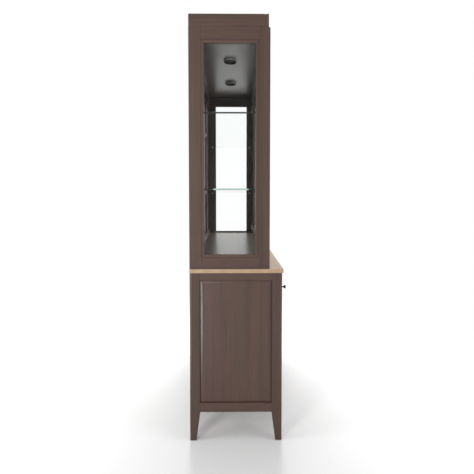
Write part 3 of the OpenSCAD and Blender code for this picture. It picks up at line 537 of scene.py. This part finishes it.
# Front frame of the hutch. Two posts and two rails of stained oak, 32 mm deep, close the side
# frames in front, and are chamfered along the top.
joinery("hutch_face_frame", stained_oak, 0.0010)


# Back of the hutch. Rails and three uprights with four panels grooved in, and the floor and
# ceiling boards, with a quarter-round bead in each corner.
joinery("hutch_back_frame", stained_oak)
joinery("hutch_back_panels", stained_oak, along=upright)
joinery("hutch_decks", inside_oak, 0.0006)
joinery("corner_beads", stained_oak, 0.0003)


# Crown. A front board, two side boards and a back board set back from the frames, with a cover
# between them. Their upper arrises are rounded, so that a small notch shows at the joint.
joinery("crown", stained_oak, 0.0028)


# Glass shelves. Tempered glass, 8 mm thick, with ground and polished edges that look green. They
# lie on steel pins in the side frames and on a bracket in the middle of the back.
shelf_face = clear_glass("shelf glass", (0.95, 0.985, 0.97), (0.80, 0.88, 0.84))
shelf_edge = clear_glass("shelf glass edge", (0.52, 0.66, 0.60), (0.60, 0.72, 0.66))
flat_from = 0.9
shelves = hardware("glass_shelves", shelf_face, 0.0007)
shelves.data.materials.append(shelf_edge)
for polygon in shelves.data.polygons:
    if abs(polygon.normal.z) < flat_from:
        polygon.material_index = 1
hardware("shelf_brackets", hinge_steel, 0.0004)


# Ceiling lamps. Two round lamps in metal rings, painted pale grey and black below, with a smoked
# lens set up in them. Their driver is a plastic box with two leads in the hollow of the crown.
def painted_metal(name, colour, rough, bare, shine=0.5):
    """Paint on metal with a fine orange peel, rubbed through at the edges"""
    material, tree, shader = new_material(name)
    shader.inputs["Specular IOR Level"].default_value = shine
    cloud = clouded(tree, clouds_per_metre=70.0)
    faded, palest = fitted(tree, cloud, (0.4, 0.7), (0, 0.6)), 0.9
    pale = tuple(min(palest, c) for c in times(colour, 1.5))
    tone = blend_colours(tree, faded, colour, pale)
    worn = fitted(tree, rubbed(tree, patches_per_metre=220.0), to=(0, 0.4))
    tree.links.new(blend_colours(tree, worn, tone, bare), shader.inputs["Base Color"])
    tree.links.new(fitted(tree, cloud, noise_span, (rough - 0.06, rough + 0.08)),
                   shader.inputs["Roughness"])
    peel = noise(tree, on_piece(tree), scale=900.0, detail=1.5)
    emboss(tree, shader, peel, strength=0.25, depth=0.00015)
    return material


def frosted_lens(name, colour):
    """A smoked plastic lens with a fine prismatic frosting"""
    material, tree, shader = new_material(name)
    shader.inputs["Specular IOR Level"].default_value = 0.02
    cells = add(tree, "TexVoronoi", Scale=700.0, Randomness=0.35)
    tree.links.new(on_piece(tree), cells.inputs["Vector"])
    frosting = cells.outputs["Distance"]
    tone = blend_colours(tree, fitted(tree, frosting, (0, 0.6)), colour, times(colour, 0.8))
    tree.links.new(tone, shader.inputs["Base Color"])
    dull = fitted(tree, clouded(tree, clouds_per_metre=40.0), noise_span, (0.28, 0.42))
    tree.links.new(dull, shader.inputs["Roughness"])
    emboss(tree, shader, frosting, strength=0.1, depth=0.0003)
    return material


# The black paint of the lamps, also used as painted shade in the screws' cross recesses.
lamp_black_and_recess_shade = painted_metal("lamp black and recess shade", (0.010, 0.010, 0.010), 0.5, (0.05, 0.05, 0.05), 0.12)
lamp_grey = painted_metal("lamp grey", (0.78, 0.78, 0.77), 0.45, (0.8, 0.8, 0.8), 0.2)
grey_height, faces_down = 0.0115, -0.3
lamp_rings = hardware("lamp_housings", lamp_black_and_recess_shade, 0.0005)
lamp_rings.data.materials.append(lamp_grey)
ceiling_level = max(v.co.z for v in lamp_rings.data.vertices)
for polygon in lamp_rings.data.polygons:
    if polygon.normal.z > faces_down and polygon.center.z > ceiling_level - grey_height:
        polygon.material_index = 1
lamp_lens = frosted_lens("lamp lens", (0.022, 0.022, 0.022))
hardware("lamp_lenses", lamp_lens, 0.0004)
driver_plastic = moulded_plastic("driver plastic", (0.03, 0.03, 0.03))
hardware("lamp_driver", driver_plastic, 0.0008)


# Knobs. Each is turned from metal, a thin neck flaring to a flat face, and painted dark bronze.
# It is screwed on from behind.
def turn_form(bm, place, turn, line, sides):
    """Adds a closed turned form along a line of (radius, height); gives its rings and walls"""
    rings = [[bm.verts.new(place + turn @ Vector((radius * math.cos(math.tau * k / sides),
                                                  radius * math.sin(math.tau * k / sides), up)))
              for k in range(sides)] for radius, up in line]
    walls = []
    for lower, upper in zip(rings, rings[1:]):
        for k in range(sides):
            n = (k + 1) % sides
            walls.append(bm.faces.new((lower[k], lower[n], upper[n], upper[k])))
    bm.faces.new(rings[-1])
    bm.faces.new(list(reversed(rings[0])))
    return rings, walls


def turned_knob(bm, place, out_way):
    """Adds one knob that stands out from its base at place, and gives its rings"""
    length, face, neck, foot, foot_high = 0.036, 0.010, 0.003, 0.006, 0.002
    rim, dome, crisp, flare_steps = 0.0025, 0.0015, 0.0006, 12
    flare_from, flare_to = length / 2, length - rim - dome
    line = [(foot, 0.0), (foot, foot_high - crisp), (foot - crisp, foot_high), (neck, foot_high)]
    for step in range(flare_steps + 1):
        t = step / flare_steps
        line.append((neck + (face - neck) * t * t, flare_from + (flare_to - flare_from) * t))
    line += [(face, length - dome - crisp), (face - dome * 0.3, length - dome * 0.35),
             (face - dome, length), (crisp, length)]
    turn = Vector((0, 0, 1)).rotation_difference(out_way).to_matrix()
    rings, walls = turn_form(bm, place, turn, line, sides=48)
    for wall in walls:
        wall.smooth = True
    return rings


def knobs_of(node, material):
    """Turned knobs where a node's knobs are"""
    source = bmesh.new()
    source.from_mesh(frame["nodes"][node].data)
    bmesh.ops.remove_doubles(source, verts=source.verts, dist=1e-6)
    bm = bmesh.new()
    worn = bm.faces.layers.float.new("edge")
    for knob in loose_boards(source):
        low = [min(v.co[k] for v in knob) for k in range(3)]
        high = [max(v.co[k] for v in knob) for k in range(3)]
        base = Vector(((low[0] + high[0]) / 2, high[1], (low[2] + high[2]) / 2))
        rings = turned_knob(bm, base, Vector((0, -1, 0)))
        for v in rings[-2]:
            for face in v.link_faces:
                face[worn] = 1.0
    source.free()
    return make_piece("turned_" + node, bm, material, body_of_node(node), [node])


dark_bronze = painted_metal("dark bronze", (0.040, 0.036, 0.033), 0.36, (0.16, 0.13, 0.10))


# Drawers. Each has a stained front, a box of five clear-lacquered birch boards with a runner of
# steel on either side, and two knobs.
birch = lacquered_wood(
    "birch", pale=(0.66, 0.53, 0.38), dark=(0.56, 0.43, 0.29),
    tints=((0.61, 0.50, 0.34), (0.60, 0.46, 0.34)), bare=(0.72, 0.60, 0.45), gloss=0.34,
    streaks=26.0, rings=150.0, ring_depth=0.06, pore_depth=0.10, tone_depth=0.04)
for drawer in ("drawer_left_", "drawer_right_"):
    joinery(drawer + "front", stained_oak, 0.0014)
    joinery(drawer + "box", birch, 0.0007)
    hardware(drawer + "runners", hinge_steel, 0.0002)
    knobs_of(drawer + "knobs", dark_bronze)


# Doors. The buffet's four have a raised panel and the hutch's two a pane, all in frames of
# stained oak. Each hangs on two butt hinges whose leaves are let in flush.
buffet_doors = ("door_left_outer", "door_left_inner", "door_right_inner", "door_right_outer")
hutch_doors = ("hutch_door_left", "hutch_door_right")
leaf_round = 0.00015
for door in buffet_doors:
    joinery(door + "_frame", stained_oak, 0.0010)
    joinery(door + "_panel", stained_oak, along=upright)
    knobs_of(door + "_knob", dark_bronze)
    hardware(door + "_leaves", hinge_steel, leaf_round)
for door in hutch_doors:
    joinery(door + "_frame", stained_oak, 0.0010)
    hardware(door + "_glass", pane_glass, 0.0004)
    knobs_of(door + "_knob", dark_bronze)
    hardware(door + "_leaves", hinge_steel, leaf_round)
hardware("hinge_leaves", hinge_steel, leaf_round)


# Screws. Three flat-headed steel ones with a cross recess hold each hinge leaf, flush with it, and
# four fill the holes of each tie plate. Each recess is a black cross of painted shade on the head.
def add_screw(bm, place, out_way, turned, radius):
    """Adds a flat head whose face lies at place, with a black cross of painted shade for its recess
    """
    arm, half_slot, slot_up = 0.62 * radius, 0.11 * radius, 0.00005
    deep, lip, crown = -0.0006, -0.00006, 0.00003
    turn = Vector((0, 0, 1)).rotation_difference(out_way).to_matrix()
    turn = turn @ Matrix.Rotation(turned, 3, "Z")
    head = [(radius, deep), (radius, lip), (radius * 0.93, 0.0), (radius * 0.4, crown)]
    turn_form(bm, place, turn, head, sides=24)
    # The recess is not cut: a black cross laid just over the head paints its shade.
    for wide, high in ((arm, half_slot), (half_slot, arm)):
        corners = [(-wide, -high), (wide, -high), (wide, high), (-wide, high)]
        slot = bm.faces.new([bm.verts.new(place + turn @ Vector((x, y, slot_up)))
                             for x, y in corners])
        slot.material_index = 1


most_turn = 1.5


def finish_screws(node, bm):
    """Turns the screws of a node into a piece of steel, with their crosses black as painted shade
    """
    bm.faces.layers.float.new("edge")
    screws = make_piece("screws_" + node, bm, hinge_steel, body_of_node(node))
    # The crosses take the black paint, as painted shade in the recesses.
    screws.data.materials.append(lamp_black_and_recess_shade)


def screw_leaves(node):
    """Screws in the exposed face of each hinge leaf of a node"""
    plate_depth, barrel_depth, screws_in, radius = 0.0005, 0.006, 0.0065, 0.0026
    bm = bmesh.new()
    source = solid_of(node)
    dice = random.Random(node)
    for leaf in loose_boards(source):
        back = max(v.co.y for v in leaf)
        front = min(v.co.y for v in leaf)
        plate = [v.co.x for v in leaf if v.co.y > back - plate_depth]
        barrel = [v.co.x for v in leaf if v.co.y < front + barrel_depth]
        pin = (min(barrel) + max(barrel)) / 2
        face = min((min(plate), max(plate)), key=lambda x: abs(x - pin))
        out_way = Vector((1 if face == max(plate) else -1, 0, 0))
        low, high = min(v.co.z for v in leaf), max(v.co.z for v in leaf)
        for step in (0.18, 0.5, 0.82):
            place = Vector((face, back - screws_in, low + (high - low) * step))
            add_screw(bm, place, out_way, dice.uniform(0, most_turn), radius)
    source.free()
    finish_screws(node, bm)


def screw_tie_plates():
    """Two screws near the foot and two near the head of each plate behind hutch and buffet"""
    aside, over_foot, under_head, sunk, radius = 0.01, 0.009, 0.02, 0.0003, 0.00215
    bm = bmesh.new()
    source = solid_of("tie_plates")
    dice = random.Random("ties")
    for plate in loose_boards(source):
        back = max(v.co.y for v in plate)
        outer = [v.co for v in plate if v.co.y > back - 1e-5]
        middle = (min(c.x for c in outer) + max(c.x for c in outer)) / 2
        low, high = min(c.z for c in outer), max(c.z for c in outer)
        for x in (-aside, aside):
            for z in (low + over_foot, high - under_head):
                add_screw(bm, Vector((middle + x, back - sunk, z)), Vector((0, 1, 0)),
                          dice.uniform(0, most_turn), radius)
    source.free()
    finish_screws("tie_plates", bm)


for leaves in ["hinge_leaves"] + [door + "_leaves" for door in buffet_doors + hutch_doors]:
    screw_leaves(leaves)
screw_tie_plates()


# Floor and light. A pale, matt studio floor that goes over into white away from the object, a
# white surround, a tall strip lamp to the left of the camera, a low one that gives the side panels'
# bevels their light line, and large soft lamps at the back's side, the front, and high up beyond.
def seen_straight(tree):
    """1 for what the camera sees, also in mirrors and through glass, and 0 for what lights"""
    path = add(tree, "LightPath")
    seen = reckon(tree, "MAXIMUM", path.outputs["Is Camera Ray"], path.outputs["Is Glossy Ray"])
    return reckon(tree, "MAXIMUM", seen, path.outputs["Is Transmission Ray"])


half_floor = 14
bm = bmesh.new()
bm.faces.new([bm.verts.new((x * half_floor, y * half_floor, 0))
              for x, y in ((-1, -1), (1, -1), (1, 1), (-1, 1))])
floor_mesh = bpy.data.meshes.new("floor")
bm.to_mesh(floor_mesh)
bm.free()
floor = bpy.data.objects.new("floor", floor_mesh)
bpy.context.collection.objects.link(floor)
floor_paint, tree, shader = new_material("floor paint")
shader.inputs["Base Color"].default_value = (0.93, 0.93, 0.93, 1)
shader.inputs["Roughness"].default_value = 0.9
shader.inputs["Specular IOR Level"].default_value = 0.0
from_middle = reckon(tree, "LENGTH", on_piece(tree), on="VectorMath")
whitening = fitted(tree, from_middle, (0.6, 2.6), (0.10, 1.0), "SMOOTHSTEP")
amount = reckon(tree, "MULTIPLY", whitening, seen_straight(tree))
white = add(tree, "Emission", Strength=1.0)
tree.links.new(blend_surfaces(tree, amount, shader, white), surface_end(tree))
floor_mesh.materials.append(floor_paint)

world = bpy.data.worlds.new("studio")
bpy.context.scene.world = world
world.use_nodes = True
tree = world.node_tree
tree.nodes.clear()
dim = add(tree, "Background", Color=(1, 1, 1, 1), Strength=0.34)
white = add(tree, "Background", Color=(1, 1, 1, 1), Strength=1.0)
tree.links.new(blend_surfaces(tree, seen_straight(tree), dim, white),
               add(tree, "OutputWorld").inputs["Surface"])


def soft_lamp(name, place, aim, wide, high, power, mirrored=True, only_on=None):
    """A rectangular soft box, which can be kept out of mirrors or show as gloss on one piece"""
    data = bpy.data.lights.new(name, "AREA")
    data.shape = "RECTANGLE"
    data.size, data.size_y, data.energy = wide, high, power
    lamp = bpy.data.objects.new(name, data)
    bpy.context.collection.objects.link(lamp)
    lamp.location = place
    lamp.rotation_euler = (Vector(aim) - Vector(place)).to_track_quat("-Z", "Y").to_euler()
    lamp.visible_camera = False
    lamp.visible_glossy = lamp.visible_transmission = mirrored
    if only_on is not None:
        lamp.visible_diffuse = False
        lit = bpy.data.collections.new("lit by " + name)
        lit.objects.link(only_on)
        lamp.light_linking.receiver_collection = lit


soft_lamp("strip_lamp", (-3.4, 1.75, 1.5), (-0.7, 0.1, 1.2), 0.7, 2.0, 44)
soft_lamp("low_strip", (-1.55, 0.80, 0.40), (-0.69, 0.18, 0.40), 0.25, 0.8, 9.5,
          only_on=side_panels)
soft_lamp("back_side_lamp", (-1.5, 3.6, 1.3), (-0.6, 0, 0.8), 1.6, 2.4, 62)
soft_lamp("front_lamp", (-1.9, -3.4, 2.6), (-0.3, 0, 0.6), 2.4, 2.0, 36)
soft_lamp("top_lamp", (2.6, 0.0, 3.2), (-0.6, 0, 0.0), 1.8, 1.8, 190, mirrored=False)
